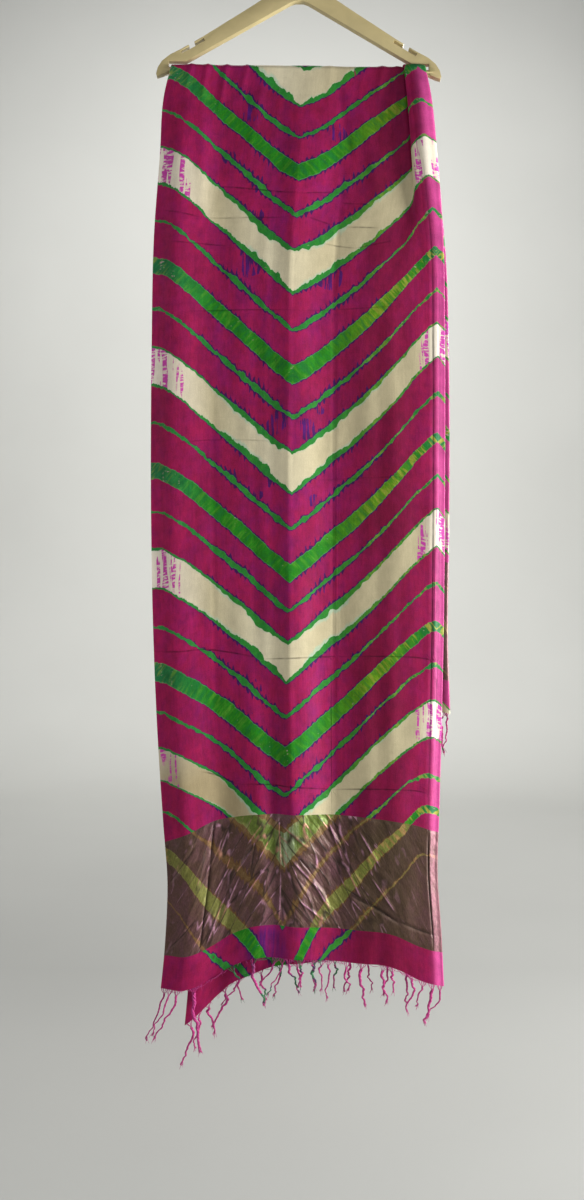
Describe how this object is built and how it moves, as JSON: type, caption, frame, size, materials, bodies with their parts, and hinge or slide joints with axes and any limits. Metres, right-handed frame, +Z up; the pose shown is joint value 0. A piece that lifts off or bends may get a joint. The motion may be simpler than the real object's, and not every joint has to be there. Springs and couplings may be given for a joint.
{
  "type": "dupatta stole on clothes hanger",
  "caption": "Tie-dyed silk dupatta with leheriya zigzags, tissue borders and a short tassel fringe, folded lengthwise and hung over the bar of a plastic clothes hanger.",
  "frame": {"origin": "point inside the top of the hanger's hook that bears on a rail", "axes": "+Z up, +X to the right of someone facing the longer front drape, -Y towards that person"},
  "size_m": [0.4601, 0.054, 1.7319],
  "materials": {
    "plastic": "moulded, satin",
    "silk": "raw silk, tie-dyed",
    "zari": "crinkled metallic tissue",
    "yarn": "twisted silk yarn"
  },
  "bodies": {
    "root": {"hanger": "plastic", "cloth_over_bar": "silk", "front_field": "silk", "front_border": "zari", "front_end": "silk", "back_field": "silk", "back_border": "zari", "back_end": "silk", "front_fringe_outer": "yarn", "front_fringe_inner": "yarn", "back_fringe_outer": "yarn", "back_fringe_inner": "yarn"}
  },
  "joints": []
}
